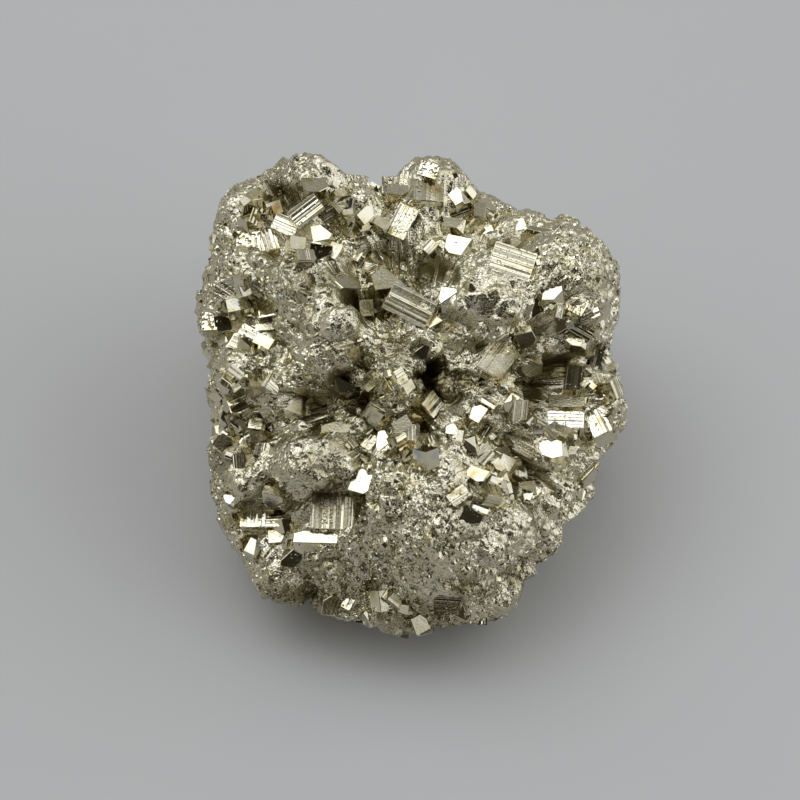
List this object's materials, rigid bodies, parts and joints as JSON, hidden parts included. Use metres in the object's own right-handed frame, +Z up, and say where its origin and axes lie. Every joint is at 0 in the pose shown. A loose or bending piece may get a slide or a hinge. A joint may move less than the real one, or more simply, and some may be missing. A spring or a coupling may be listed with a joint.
{
  "type": "rough pyrite stone",
  "caption": "Rough lump of pyrite: a nodular grainy metallic mass with flat-faced cube crystals grown through it, resting on worn flats.",
  "frame": {"origin": "middle of the footprint's box, on the surface that the stone rests on", "axes": "+Z up, -Y towards the show side, +X to the right as the show side is seen"},
  "size_m": [0.0666, 0.0782, 0.0543],
  "materials": {
    "pyrite": "bare natural metallic faces, grainy and bright"
  },
  "bodies": {
    "root": {"pyrite_stone": "pyrite"}
  },
  "joints": []
}
